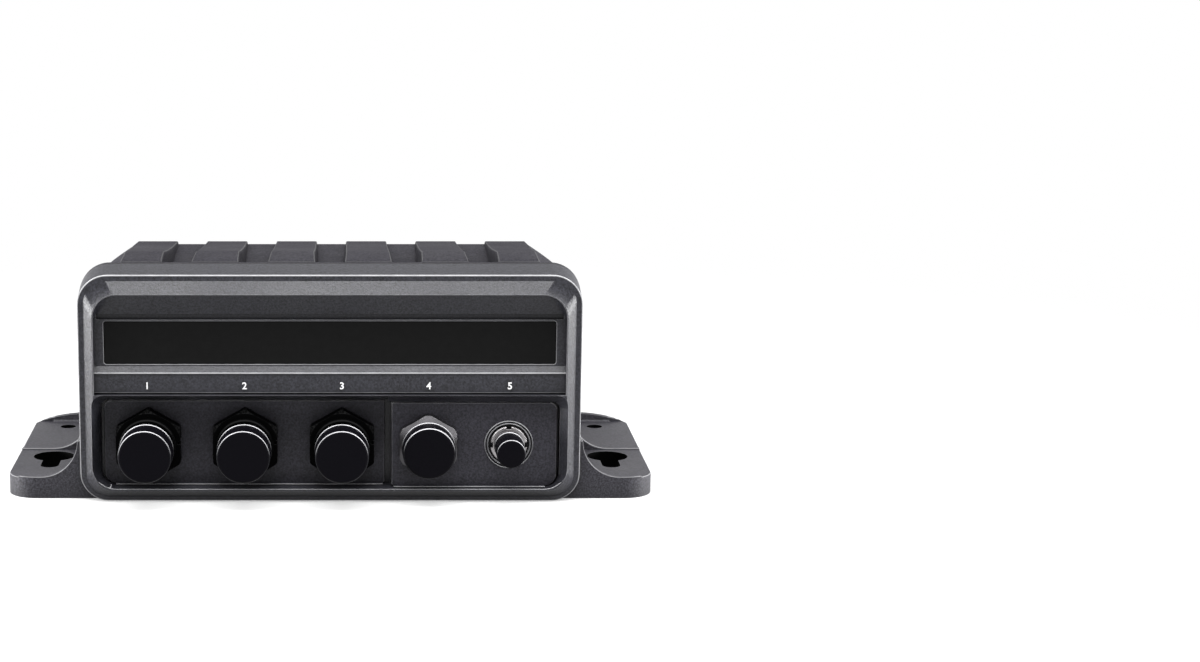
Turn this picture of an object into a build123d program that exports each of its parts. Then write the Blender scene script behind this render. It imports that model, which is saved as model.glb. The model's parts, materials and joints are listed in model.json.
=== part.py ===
from build123d import *
import os

# Black-box VHF marine transceiver: a cast case with a ribbed cover and mounting feet,
# a moulded front bezel, and five capped sockets in a recess across its lower half.
# Sizes are in millimetres. +X is to the right as seen from the front, +Y is to the rear
# and +Z is up. Depths are measured to the rear from the bezel's front edge.

os.makedirs("parts", exist_ok=True)

# ---- case ----
body_width = 214.0
half_width = body_width / 2
shell_half = 105.0
seam_top = 101.2            # bezel height where it meets the shell
rim_top = 98.1              # bezel height at its front rim
corner_low = 12.0
corner_high = 13.0
rim_depth = 4.0
seam_depth = 16.0
gasket_thickness = 0.8
flange_front = seam_depth + gasket_thickness
flange_back = 19.5
wall = 3.0
shell_depth = 135.0
cavity_back = shell_depth - wall
floor_thickness = 4.0
split_height = 30.0         # tray below, cover above
cover_bottom = split_height + gasket_thickness
shoulder_low = 82.7
shoulder_half = 92.5        # the shoulders slope up from the sides to the deck
deck_height = 91.2
roof_underside = deck_height - wall
rear_corner = 8.0

# ---- sockets ----
axis_height = 24.4
mic_places = (-77.7, -36.3, 5.1)
data_place = 42.0
gps_place = 76.5
pocket_depth = 12.0         # bottom of the bezel's socket recess
pocket_wall_back = 14.5
mic_floor = 10.0            # front face of the microphone plate
data_floor = 5.5            # front face of the data plate
mic_thread = 8.8
data_thread = 8.0
gps_thread = 4.2
thread_gap = 0.3            # between a cap's bore and its socket
mic_cap_front = mic_floor - 28.5
data_cap_front = data_floor - 17.5
gps_cap_front = data_floor - 18.0

# ---- rear panel fittings ----
antenna_place = (-70.0, 62.0)
antenna_thread = 7.94
antenna_tip = 153.2
gland_places = ((42.0, 50.0), (76.0, 50.0))
gland_tip = 151.0
ground_place = (0.0, 46.0)
vent_place = (0.0, 70.0)

front_y = -(mic_cap_front + antenna_tip) / 2   # the part is centred between its end faces


def y_at(depth):
    """Y of a point that lies a depth behind the bezel's front edge."""
    return front_y + depth


def facing(depth):
    """Plane that looks forward; extruding by a positive amount goes to the front."""
    return Plane.XZ.offset(-y_at(depth))


def keep(piece, name):
    """Label a finished piece and write it."""
    piece.part.label = name
    export_step(piece.part, f"parts/{name}.step")


def panel(left, right, bottom, top, radii):
    """Rectangle with its own radius at each corner, from low left anticlockwise."""
    with BuildSketch() as outline:
        with BuildLine():
            FilletPolyline(
                (left, bottom), (right, bottom), (right, top), (left, top), radius=radii, close=True
            )
        make_face()
    return outline.sketch


def wide_panel(half, bottom, top, low_radius, high_radius):
    """Panel that is centred on the case."""
    return panel(-half, half, bottom, top, (low_radius, low_radius, high_radius, high_radius))


def turned(place, corners, height=axis_height):
    """Piece turned about an axis along Y; corners are (radius, depth) pairs."""
    with BuildPart() as piece:
        with BuildSketch(Plane.XY.offset(height)):
            with BuildLine():
                Polyline([(place + radius, y_at(depth)) for radius, depth in corners], close=True)
            make_face()
        revolve(axis=Axis((place, 0, height), (0, 1, 0)))
    return piece


def outward(x, depth, z, direction):
    """Plane on a surface of the case, whose normal points the given way."""
    return Plane(origin=(x, y_at(depth), z), z_dir=direction)


# ---- front bezel ----
# An outline is (half-width, bottom, top, radius of the low corners, radius of the high corners).
seam_outline = (half_width, 0, seam_top, corner_low, corner_high)
rim_outline = (half_width, 0, rim_top, corner_low, corner_high)
chamfer_outer = (104.4, 1.8, 95.6, 10, 10)
chamfer_inner = (100.7, 5.3, 90.5, 8, 10.4)

field_half = 100.2          # label field under a brow that leans back
field_high = 90.1
field_back_high = 81.4
field_corner = 10.0         # at the brow's front edge
field_back_corner = 3.0
brow_step = 0.7             # shadow step between the chamfer and the brow
label_depth = 5.0
groove_low = 78.9           # shadow groove between the brow and the label window
groove_depth = 7.0
groove_inset = 1.0
groove_corner = 0.5

strip_depth = 2.5           # numbered strip, with a sloping ledge over it
strip_low = 47.4
strip_high = 56.3
ledge_high = strip_high + label_depth - strip_depth
ledge_lip = 0.5             # the ledge's front edge overhangs the strip

recess_half = 101.8
recess_low = 6.2
recess_high = 47.0
recess_corner_low = 10.0
recess_corner_high = 5.5
pocket_half = 98.2
pocket_low = 6.0
pocket_high = 43.3
pocket_corner_low = 6.0
pocket_corner_high = 3.5
divider = 24.9              # middle of the gap between the two plates
divider_corner = 0.5
mic_slope_depth = 9.4       # the recess walls slope in down to here
data_slope_depth = 5.0

hollow_depth = 9.5          # the bezel's back is hollow over and behind the recess
hollow_outline = (97.0, 50.0, 92.0, 3, 8)
recess_back_outline = (99.0, 6.0, 47.5, 6, 2)

skirt_back = 28.0           # skirt that plugs into the shell
skirt_half = 101.6
skirt_low = 5.0
skirt_high = 79.5
skirt_wall = 2.4
skirt_corner = 4.0
skirt_inner_corner = 2.0

window_half = 95.9
window_low = 59.8
window_high = 78.0
window_corner = 1.0
window_edge = 0.2
window_thickness = 0.9
window_pocket = 0.8
window_gap = 0.1
bore_gap = 0.1              # between a socket and the hole it sits in


def recess_part(left, right, mouth_left, mouth_right, corners, depth):
    """Sloping recess from a mouth at the bezel's front edge to the top of its pocket."""
    with BuildPart(mode=Mode.PRIVATE) as slope:
        with BuildSketch(facing(depth)):
            add(panel(left, right, pocket_low, pocket_high, corners[0]))
        with BuildSketch(facing(0)):
            add(panel(mouth_left, mouth_right, recess_low, recess_high, corners[1]))
        loft(ruled=True)
    return slope.part


mic_recess = recess_part(
    -pocket_half,
    divider,
    -recess_half,
    divider,
    (
        (pocket_corner_low, divider_corner, divider_corner, pocket_corner_high),
        (recess_corner_low, divider_corner, divider_corner, recess_corner_high),
    ),
    mic_slope_depth,
)
data_recess = recess_part(
    divider - 1,
    pocket_half,
    divider - 1,
    recess_half,
    (
        (divider_corner, pocket_corner_low, pocket_corner_high, divider_corner),
        (divider_corner, recess_corner_low, recess_corner_high, divider_corner),
    ),
    data_slope_depth,
)

with BuildPart() as front_bezel:
    with BuildSketch(facing(seam_depth)):
        add(wide_panel(*seam_outline))
    with BuildSketch(facing(rim_depth)):
        add(wide_panel(*rim_outline))
    loft(ruled=True)
    with BuildSketch(facing(rim_depth)):
        add(wide_panel(*chamfer_outer))
    with BuildSketch(facing(0)):
        add(wide_panel(*chamfer_inner))
    loft(ruled=True)
    # label field, set back by a step and then by the leaning brow
    with BuildSketch(facing(brow_step)):
        add(wide_panel(field_half, recess_high, field_high, 0, field_corner))
    extrude(amount=brow_step, mode=Mode.SUBTRACT)
    with BuildSketch(facing(label_depth)):
        add(wide_panel(field_half, recess_high, field_back_high, 0, field_back_corner))
    with BuildSketch(facing(brow_step)):
        add(wide_panel(field_half, recess_high, field_high, 0, field_corner))
    loft(ruled=True, mode=Mode.SUBTRACT)
    # numbered strip and ledge
    with BuildSketch(Plane.YZ):
        Polygon(
            (y_at(label_depth + 1), strip_low),
            (y_at(label_depth + 1), ledge_high),
            (y_at(label_depth), ledge_high),
            (y_at(strip_depth), strip_high),
            (y_at(strip_depth), strip_high - ledge_lip),
            (y_at(strip_depth + ledge_lip), strip_high - ledge_lip),
            (y_at(strip_depth + ledge_lip), strip_low),
            align=None,
        )
    extrude(amount=field_half, both=True)
    with BuildSketch(facing(groove_depth)):
        add(
            wide_panel(
                field_half - groove_inset, groove_low, field_back_high, groove_corner, groove_corner
            )
        )
    extrude(amount=groove_depth - brow_step, mode=Mode.SUBTRACT)
    # socket recess: walls that slope in to each plate, then a straight pocket
    add(mic_recess, mode=Mode.SUBTRACT)
    add(data_recess, mode=Mode.SUBTRACT)
    with BuildSketch(facing(pocket_depth)):
        add(wide_panel(pocket_half, pocket_low, pocket_high, pocket_corner_low, pocket_corner_high))
    extrude(amount=pocket_depth, mode=Mode.SUBTRACT)
    # seat for the label window
    with BuildSketch(facing(label_depth + window_pocket)):
        add(
            wide_panel(
                window_half + window_gap,
                window_low - window_gap,
                window_high + window_gap,
                window_corner,
                window_corner,
            )
        )
    extrude(amount=window_pocket, mode=Mode.SUBTRACT)
    with BuildSketch(facing(seam_depth)):
        add(wide_panel(*hollow_outline))
    extrude(amount=seam_depth - hollow_depth, mode=Mode.SUBTRACT)
    with BuildSketch(facing(seam_depth)):
        add(wide_panel(*recess_back_outline))
    extrude(amount=seam_depth - pocket_wall_back, mode=Mode.SUBTRACT)
    with BuildSketch(facing(skirt_back)):
        add(wide_panel(skirt_half, skirt_low, skirt_high, skirt_corner, skirt_corner))
        add(
            wide_panel(
                skirt_half - skirt_wall,
                skirt_low + skirt_wall,
                skirt_high - skirt_wall,
                skirt_inner_corner,
                skirt_inner_corner,
            ),
            mode=Mode.SUBTRACT,
        )
    extrude(amount=skirt_back - seam_depth)
    # socket holes
    with BuildSketch(facing(pocket_wall_back)):
        with Locations(*[(place, axis_height) for place in mic_places]):
            Circle(mic_thread + bore_gap)
        with Locations((data_place, axis_height)):
            Circle(data_thread + bore_gap)
        with Locations((gps_place, axis_height)):
            Circle(gps_thread + bore_gap)
    extrude(amount=pocket_wall_back - pocket_depth, mode=Mode.SUBTRACT)

# ---- screws that hold the bezel's skirt, four at the sides and two underneath ----
bezel_screw_depth = 24.0
bezel_screw_head = 2.9
bezel_screw_head_height = 1.38
bezel_screw_radius = 1.45
bezel_screw_length = 6.0
bezel_screw_sink = 0.2      # the heads lie just under the surface
cross_length = 3.2          # cross recess of the small screws
cross_width = 0.7
cross_depth = 0.8
side_screw_heights = (46.0, 68.0)
floor_screw_places = (-60.0, 60.0)
hanging = (Align.CENTER, Align.CENTER, Align.MAX)
side_screw_planes = []
for z in side_screw_heights:
    side_screw_planes.append(outward(shell_half, bezel_screw_depth, z, (1, 0, 0)))
    side_screw_planes.append(outward(-shell_half, bezel_screw_depth, z, (-1, 0, 0)))
floor_screw_planes = [outward(x, bezel_screw_depth, 0, (0, 0, -1)) for x in floor_screw_places]
bezel_screw_planes = side_screw_planes + floor_screw_planes

with BuildPart() as bezel_screws:
    with Locations(*bezel_screw_planes):
        with Locations((0, 0, -bezel_screw_sink)):
            Cone(bezel_screw_radius, bezel_screw_head - 0.25, bezel_screw_head_height, align=hanging)
            Cylinder(bezel_screw_radius, bezel_screw_length, align=hanging)
        with Locations((0, 0, -bezel_screw_sink)):
            Box(cross_length, cross_width, cross_depth, align=hanging, mode=Mode.SUBTRACT)
            Box(cross_width, cross_length, cross_depth, align=hanging, mode=Mode.SUBTRACT)
keep(bezel_screws, "bezel_screws")

with BuildPart() as bored_bezel:
    add(front_bezel.part)
    with Locations(*bezel_screw_planes):
        Cylinder(bezel_screw_radius + 0.05, 2 * bezel_screw_length, align=hanging, mode=Mode.SUBTRACT)
keep(bored_bezel, "front_bezel")

# ---- label window, a bare gloss strip ----
with BuildPart() as label_window:
    with BuildSketch(facing(label_depth + window_pocket)):
        add(wide_panel(window_half, window_low, window_high, window_corner, window_corner))
    extrude(amount=window_thickness)
    chamfer(label_window.faces().sort_by(Axis.Y)[0].edges(), window_edge)
keep(label_window, "label_window")

# ---- gasket between bezel and shell ----
gasket_inset = 0.9
gasket_gap = 0.2            # between the gasket and the skirt
with BuildPart() as bezel_gasket:
    with BuildSketch(facing(flange_front)):
        add(
            wide_panel(
                half_width - gasket_inset,
                gasket_inset,
                seam_top - gasket_inset,
                corner_low - gasket_inset,
                corner_high - gasket_inset,
            )
        )
        add(
            wide_panel(
                skirt_half + gasket_gap,
                skirt_low - gasket_gap,
                skirt_high + gasket_gap,
                skirt_corner,
                skirt_corner,
            ),
            mode=Mode.SUBTRACT,
        )
    extrude(amount=gasket_thickness)
keep(bezel_gasket, "bezel_gasket")

# ---- plates that close the socket recess ----
plate_half = pocket_half - 1.1      # narrower than the pocket by the gap at its side
plate_low = pocket_low + 0.1
plate_high = pocket_high - 0.3
plate_corner_low = 5.0
plate_corner_high = 3.5
plate_edge = 0.4
divider_left = 23.6
divider_right = 26.2
divider_round = 1.0
lip_height = 0.45           # thin ledge along a plate's bottom edge
lip_front = 2.2
lip_round = 0.2

gps_step_radius = 10.0
gps_step_depth = 1.2
gps_well_radius = 8.7
gps_well_depth = 2.4

with BuildPart() as mic_plate:
    with BuildSketch(facing(pocket_depth)):
        add(
            panel(
                -plate_half,
                divider_left,
                plate_low,
                plate_high,
                (plate_corner_low, divider_round, divider_round, plate_corner_high),
            )
        )
        with Locations(*[(place, axis_height) for place in mic_places]):
            Circle(mic_thread + bore_gap, mode=Mode.SUBTRACT)
    extrude(amount=pocket_depth - mic_floor)
    chamfer(mic_plate.faces().sort_by(Axis.Y)[0].outer_wire().edges(), plate_edge)
    with BuildSketch(facing(pocket_depth)):
        add(
            panel(
                plate_corner_low - plate_half,
                divider_left - divider_round,
                plate_low,
                plate_low + lip_height,
                lip_round,
            )
        )
    extrude(amount=pocket_depth - mic_floor + lip_front)
keep(mic_plate, "mic_plate")

with BuildPart() as data_plate:
    with BuildSketch(facing(pocket_depth)):
        add(
            panel(
                divider_right,
                plate_half,
                plate_low,
                plate_high,
                (divider_round, plate_corner_low, plate_corner_high, divider_round),
            )
        )
    extrude(amount=pocket_depth - data_floor)
    chamfer(data_plate.faces().sort_by(Axis.Y)[0].outer_wire().edges(), plate_edge)
    with BuildSketch(facing(pocket_depth)):
        add(
            panel(
                divider_right + divider_round,
                plate_half - plate_corner_low,
                plate_low,
                plate_low + lip_height,
                lip_round,
            )
        )
    extrude(amount=pocket_depth - data_floor + lip_front)
    with BuildSketch(facing(pocket_depth)):
        with Locations((data_place, axis_height)):
            Circle(data_thread + bore_gap)
        with Locations((gps_place, axis_height)):
            Circle(gps_thread + bore_gap)
    extrude(amount=pocket_depth - data_floor, mode=Mode.SUBTRACT)
    # stepped well of the satellite antenna socket
    for well_radius, well_depth in (
        (gps_step_radius, gps_step_depth),
        (gps_well_radius, gps_well_depth),
    ):
        with BuildSketch(facing(data_floor + well_depth)):
            with Locations((gps_place, axis_height)):
                Circle(well_radius)
        extrude(amount=well_depth, mode=Mode.SUBTRACT)
keep(data_plate, "data_plate")

# ---- mounting foot, made for the right side ----
foot_inner = 100.0
foot_outer = 139.5
foot_front = 8.0
foot_back = 122.5
foot_corner_front = 13.0
foot_corner_back = 8.0
pad_height = 8.8
plinth_half = 108.6
gusset_radius = 16.0        # hollow between the plinth and the foot
gusset_thickness = 3.0
gusset_foot = plinth_half + gusset_radius
ridge_height = pad_height + 0.6
ridge_front = 61.5
ridge_back = 64.0
plinth_height = ridge_height + gusset_radius
rear_wall = 3.5
rear_wall_front = foot_back - rear_wall
rear_wall_height = 12.3
rear_wall_middle = (130.0, 11.0)    # the wall's top falls to the pad in an arc
rear_wall_end = 138.0
kerb = 0.7                  # slope at the foot of the rear wall
hole_line = 123.5
keyhole_depth = 49.0
keyhole_radius = 9.0
keyhole_slot_half = 4.0
keyhole_slot_end = 32.0
foot_hole_depth = 108.0
foot_hole_radius = 3.6
bezel_clearance = 0.35
above = 40.0                # any height over the feet


def foot_plan():
    """Plan of the whole foot."""
    with BuildSketch() as plan:
        with BuildLine():
            FilletPolyline(
                (foot_inner, y_at(foot_front)),
                (foot_outer, y_at(foot_front)),
                (foot_outer, y_at(foot_back)),
                (foot_inner, y_at(foot_back)),
                radius=(0, foot_corner_front, foot_corner_back, 0),
                close=True,
            )
        make_face()
    return plan.sketch


with BuildPart() as foot_rear_wall:
    with BuildSketch(facing(foot_back)):
        with BuildLine():
            Line((foot_inner, rear_wall_height), (plinth_half, rear_wall_height))
            ThreePointArc(
                (plinth_half, rear_wall_height), rear_wall_middle, (rear_wall_end, pad_height)
            )
            Polyline(
                (rear_wall_end, pad_height),
                (rear_wall_end, 0),
                (foot_inner, 0),
                (foot_inner, rear_wall_height),
            )
        make_face()
    extrude(amount=rear_wall)
    with BuildSketch(Plane.XY):
        add(foot_plan())
    extrude(amount=above, mode=Mode.INTERSECT)

with BuildPart() as mounting_foot:
    with BuildSketch(Plane.XY):
        add(foot_plan())
    extrude(amount=plinth_height)
    # concave hollow over the foot, which leaves the plinth and the gussets
    with BuildSketch(facing(foot_back)):
        with BuildLine():
            Line((plinth_half, above), (plinth_half, plinth_height))
            CenterArc((gusset_foot, plinth_height), gusset_radius, 180, 90)
            Polyline(
                (gusset_foot, ridge_height),
                (foot_outer + above, ridge_height),
                (foot_outer + above, above),
                (plinth_half, above),
            )
        make_face()
    extrude(amount=foot_back - foot_front, mode=Mode.SUBTRACT)
    # pads between the gussets
    with BuildSketch(Plane.XY.offset(pad_height)):
        for bay_front, bay_back in (
            (foot_front + gusset_thickness, ridge_front),
            (ridge_back, foot_back),
        ):
            Polygon(
                (plinth_half, y_at(bay_front)),
                (foot_outer + 1, y_at(bay_front)),
                (foot_outer + 1, y_at(bay_back)),
                (plinth_half, y_at(bay_back)),
                align=None,
            )
    extrude(amount=above, mode=Mode.SUBTRACT)
    add(foot_rear_wall.part)
    with BuildSketch(Plane.YZ.offset(foot_inner)):
        Polygon(
            (y_at(rear_wall_front), pad_height),
            (y_at(rear_wall_front), pad_height + kerb),
            (y_at(rear_wall_front - kerb), pad_height),
            align=None,
        )
    extrude(amount=foot_outer - foot_corner_back - foot_inner)
    # screw hole and keyhole
    with BuildSketch(Plane.XY):
        with Locations((hole_line, y_at(foot_hole_depth))):
            Circle(foot_hole_radius)
        with Locations((hole_line, y_at(keyhole_depth))):
            Circle(keyhole_radius)
        with Locations((hole_line, y_at(keyhole_slot_end))):
            Circle(keyhole_slot_half)
        with Locations((hole_line, (y_at(keyhole_slot_end) + y_at(keyhole_depth)) / 2)):
            Rectangle(2 * keyhole_slot_half, keyhole_depth - keyhole_slot_end)
    extrude(amount=above, mode=Mode.SUBTRACT)
    # room for the bezel, which the foot's front follows
    with BuildSketch(facing(flange_front)):
        add(
            wide_panel(
                half_width + bezel_clearance,
                -bezel_clearance,
                seam_top,
                corner_low + bezel_clearance,
                corner_high,
            )
        )
    extrude(amount=flange_front, mode=Mode.SUBTRACT)

# ---- base tray ----
cover_screw_depths = (34.0, 124.0)
cover_screw_half = 95.0
cover_screw_points = [(side * cover_screw_half, y_at(d)) for side in (-1, 1) for d in cover_screw_depths]
boss_radius = 5.0
cover_screw_radius = 1.9
cover_screw_head = 3.6
cover_screw_length = 43.0
cover_screw_gap = 0.2
cover_screw_recess = 3.4
board_screw_points = [(side * 80, y_at(d)) for side in (-1, 1) for d in (42.0, 116.0)]


def tray_plan(inset):
    """Plan of the tray or of its cavity, with rounded rear corners."""
    half = shell_half - inset
    radius = rear_corner - inset
    with BuildSketch() as plan:
        with BuildLine():
            FilletPolyline(
                (-half, y_at(flange_front)),
                (half, y_at(flange_front)),
                (half, y_at(shell_depth - inset)),
                (-half, y_at(shell_depth - inset)),
                radius=(0, 0, radius, radius),
                close=True,
            )
        make_face()
    return plan.sketch


with BuildPart() as base_tray:
    with BuildSketch(Plane.XY):
        add(tray_plan(0))
    extrude(amount=split_height)
    with BuildSketch(facing(flange_back)):
        add(wide_panel(half_width, 0, split_height, corner_low, 0))
    extrude(amount=flange_back - flange_front)
    add(mounting_foot.part)
    add(mirror(mounting_foot.part, about=Plane.YZ, mode=Mode.PRIVATE))
    with BuildSketch(Plane.XY.offset(floor_thickness)):
        add(tray_plan(wall))
    extrude(amount=split_height, mode=Mode.SUBTRACT)
    with BuildSketch(Plane.XY):
        with Locations(*cover_screw_points):
            Circle(boss_radius)
    extrude(amount=split_height)
    with Locations(*[Plane(origin=(x, y, 0), z_dir=(0, 0, -1)) for x, y in cover_screw_points]):
        CounterBoreHole(
            cover_screw_radius + cover_screw_gap,
            cover_screw_head + cover_screw_gap,
            cover_screw_recess,
            depth=split_height,
        )
    with Locations(*floor_screw_planes):
        CounterSinkHole(bezel_screw_radius + bore_gap, bezel_screw_head, depth=floor_thickness)
keep(base_tray, "base_tray")

# ---- gasket between tray and cover ----
cover_gasket_inset = 0.6
cover_gasket_overhang = 0.4
with BuildPart() as cover_gasket:
    with BuildSketch(Plane.XY.offset(split_height)):
        add(tray_plan(cover_gasket_inset))
        add(tray_plan(wall - cover_gasket_overhang), mode=Mode.SUBTRACT)
        # the front stays open for the bezel's skirt
        with Locations((0, y_at(flange_front))):
            Rectangle(2 * (shell_half - wall + cover_gasket_overhang), 4 * wall, mode=Mode.SUBTRACT)
    extrude(amount=gasket_thickness)
keep(cover_gasket, "cover_gasket")

# ---- ribbed cover ----
cover_boss_top = 83.5       # the bosses run into the sloping shoulders
boss_bore_depth = 14.0
antenna_opening = 7.6       # holes in the rear wall
antenna_screw_pitch = 18.3
antenna_screw_radius = 1.45
gland_opening = 6.6
ground_opening = 2.1
vent_opening = 3.1
rib_pitch = 32.8
rib_count = 6
rib_front_half = 12.2       # half-widths at the foot of a rib
rib_back_half = 9.8
rib_crest = 102.3
rib_crest_depth = 42.0
rib_sweep_depth = 84.0
rib_sweep_height = 97.2
rib_tail = 92.6
rib_draft = 11
rib_foot = deck_height - 0.7
outer_flank_half = 89.4     # the outermost ribs lean in from the shoulders to this half-width


def shell_section(inset):
    """Section of the cover across the case, with sloping shoulders."""
    half = shell_half - inset
    with BuildSketch() as section:
        Polygon(
            (-half, cover_bottom),
            (half, cover_bottom),
            (half, shoulder_low - inset / 2),
            (shoulder_half - inset / 3, deck_height - inset),
            (-shoulder_half + inset / 3, deck_height - inset),
            (-half, shoulder_low - inset / 2),
            align=None,
        )
    return section.sketch


with BuildPart() as rib_block:
    with BuildSketch(Plane.XY.offset(rib_foot)):
        for number in range(rib_count):
            centre = (number - (rib_count - 1) / 2) * rib_pitch
            Polygon(
                (centre - rib_front_half, y_at(flange_front)),
                (centre + rib_front_half, y_at(flange_front)),
                (centre + rib_back_half, y_at(shell_depth)),
                (centre - rib_back_half, y_at(shell_depth)),
                align=None,
            )
    extrude(amount=rib_crest - rib_foot + 1, taper=rib_draft)
    with BuildSketch(Plane.YZ):
        with BuildLine():
            Polyline(
                (y_at(shell_depth), rib_tail),
                (y_at(shell_depth), rib_foot),
                (y_at(flange_front), rib_foot),
                (y_at(flange_front), seam_top),
                (y_at(flange_back + 3), rib_crest - 0.2),
                (y_at(rib_crest_depth), rib_crest),
            )
            ThreePointArc(
                (y_at(rib_crest_depth), rib_crest),
                (y_at(rib_sweep_depth), rib_sweep_height),
                (y_at(shell_depth), rib_tail),
            )
        make_face()
    extrude(amount=half_width, both=True, mode=Mode.INTERSECT)
    with BuildSketch(facing(shell_depth)):
        Polygon(
            (-shoulder_half, rib_foot),
            (shoulder_half, rib_foot),
            (shoulder_half, deck_height),
            (outer_flank_half, rib_crest),
            (-outer_flank_half, rib_crest),
            (-shoulder_half, deck_height),
            align=None,
        )
    extrude(amount=shell_depth - flange_front, mode=Mode.INTERSECT)

with BuildPart() as top_cover:
    with BuildSketch(facing(shell_depth)):
        add(shell_section(0))
    extrude(amount=shell_depth - flange_back)
    with BuildSketch(Plane.XY.offset(cover_bottom)):
        add(tray_plan(0))
    extrude(amount=seam_top, mode=Mode.INTERSECT)
    with BuildSketch(facing(flange_back)):
        add(wide_panel(half_width, cover_bottom, seam_top, 0, corner_high))
    extrude(amount=flange_back - flange_front)
    add(rib_block.part)
    with BuildSketch(facing(cavity_back)):
        add(shell_section(wall))
    extrude(amount=cavity_back - flange_front, mode=Mode.SUBTRACT)
    # bosses for the screws that come up through the tray
    with BuildSketch(Plane.XY.offset(cover_bottom)):
        with Locations(*cover_screw_points):
            Circle(boss_radius)
    extrude(amount=cover_boss_top - cover_bottom)
    with BuildSketch(Plane.XY.offset(cover_bottom)):
        with Locations(*cover_screw_points):
            Circle(cover_screw_radius + 0.05)
    extrude(amount=boss_bore_depth, mode=Mode.SUBTRACT)
    with Locations(*side_screw_planes):
        CounterSinkHole(bezel_screw_radius + bore_gap, bezel_screw_head, depth=wall + 1)
    # openings in the rear wall
    with BuildSketch(facing(shell_depth)):
        with Locations(antenna_place):
            Circle(antenna_opening)
            with GridLocations(antenna_screw_pitch, antenna_screw_pitch, 2, 2):
                Circle(antenna_screw_radius + 0.05)
        with Locations(*gland_places):
            Circle(gland_opening)
        with Locations(ground_place):
            Circle(ground_opening)
        with Locations(vent_place):
            Circle(vent_opening)
    extrude(amount=wall, mode=Mode.SUBTRACT)
keep(top_cover, "top_cover")

cover_screw_sink = 0.6
cover_screw_head_height = 2.6
cover_screw_socket = 1.6
cover_screw_socket_depth = 1.4
standing = (Align.CENTER, Align.CENTER, Align.MIN)
with BuildPart() as cover_screws:
    for x, y in cover_screw_points:
        with Locations((x, y, cover_screw_sink)):
            Cylinder(cover_screw_head, cover_screw_head_height, align=standing)
            Cylinder(cover_screw_radius, cover_screw_length, align=standing)
        with Locations((x, y, cover_screw_sink)):
            Cylinder(cover_screw_socket, cover_screw_socket_depth, align=standing, mode=Mode.SUBTRACT)
keep(cover_screws, "cover_screws")

# ---- microphone sockets ----
hex_across = 27.5
hex_corner = 15.6
nut_back = mic_floor - 0.8
nut_front = mic_floor - 7.5
collar_front = mic_floor - 11.0
collar_radius = 12.2
socket_flange = 12.4
socket_flange_back = 17.0
insert_seat = 20.0
insert_front = 2.0
socket_back = 26.0
insert_back = socket_back + 0.4
mic_pin_front = -7.2
pin_back = 27.0
pin_radius = 0.6
mic_bore = 7.0
mic_front = mic_floor - 25.2
mic_cap_back = mic_floor - 15.7
mic_cap_radius = 11.4
cap_wall = 2.0
socket_tail = 5.5           # rear barrel of a microphone socket
socket_neck = 8.0
mic_seal_radius = 12.6
mic_pin_circle = 4.0
mic_pin_count = 7
pin_gap = 0.02
seat_gap = 0.05             # between parts that only just clear each other
notch = (2.4, 30.0, 1.7)    # locking notch in the nut's right-hand flat
notch_height = 1.6

for number, place in enumerate(mic_places, start=1):
    mic_socket = turned(
        place,
        [
            (socket_tail, socket_back), (socket_neck, socket_back), (socket_neck, socket_flange_back),
            (socket_flange, socket_flange_back), (socket_flange, pocket_wall_back),
            (mic_thread, pocket_wall_back), (mic_thread, mic_front), (mic_bore, mic_front),
            (mic_bore, insert_seat), (socket_tail, insert_seat),
        ],
    )
    keep(mic_socket, f"mic_socket_{number}")

    rounded_hex = turned(
        place,
        [
            (mic_thread + seat_gap, nut_back), (hex_corner, nut_back),
            (hex_corner, nut_front + 1.2), (hex_corner - 1.4, nut_front),
            (mic_thread + seat_gap, nut_front),
        ],
    )
    collar = turned(
        place,
        [
            (mic_thread + seat_gap, nut_front + 0.5), (collar_radius, nut_front + 0.5),
            (collar_radius, collar_front + 0.5), (collar_radius - 0.5, collar_front),
            (mic_thread + seat_gap, collar_front),
        ],
    )
    with BuildPart() as mic_nut:
        with BuildSketch(facing(nut_back)):
            with Locations((place, axis_height)):
                RegularPolygon(hex_across / 2, 6, major_radius=False, rotation=90)
        extrude(amount=nut_back - nut_front)
        add(rounded_hex.part, mode=Mode.INTERSECT)
        add(collar.part)
        with Locations((place + hex_across / 2, y_at(nut_back), axis_height + notch_height)):
            Box(*notch, mode=Mode.SUBTRACT)
    keep(mic_nut, f"mic_nut_{number}")

    mic_cap = turned(
        place,
        [
            (0, mic_cap_front), (mic_cap_radius - 1.3, mic_cap_front),
            (mic_cap_radius - 0.4, mic_cap_front + 0.5), (mic_cap_radius, mic_cap_front + 1.4),
            (mic_cap_radius, mic_cap_back - 0.5), (mic_cap_radius - 0.5, mic_cap_back),
            (mic_thread + thread_gap, mic_cap_back), (mic_thread + thread_gap, mic_cap_front + cap_wall),
            (0, mic_cap_front + cap_wall),
        ],
    )
    keep(mic_cap, f"mic_cap_{number}")

    mic_liner = turned(
        place,
        [
            (0, mic_front - seat_gap), (mic_thread, mic_front - seat_gap),
            (mic_thread, mic_cap_front + cap_wall + seat_gap), (0, mic_cap_front + cap_wall + seat_gap),
        ],
    )
    keep(mic_liner, f"mic_liner_{number}")

with BuildPart() as mic_inserts:
    for place in mic_places:
        with BuildSketch(facing(insert_seat)):
            with Locations((place, axis_height)):
                Circle(mic_bore - seat_gap)
        extrude(amount=insert_seat - insert_front)
        with BuildSketch(facing(insert_back)):
            with Locations((place, axis_height)):
                Circle(socket_tail - seat_gap)
        extrude(amount=insert_back - insert_seat)
        with BuildSketch(facing(insert_back)):
            with Locations((place, axis_height)):
                with PolarLocations(mic_pin_circle, mic_pin_count):
                    Circle(pin_radius + pin_gap)
                Circle(pin_radius + pin_gap)
        extrude(amount=insert_back - insert_front, mode=Mode.SUBTRACT)
keep(mic_inserts, "mic_inserts")

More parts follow.
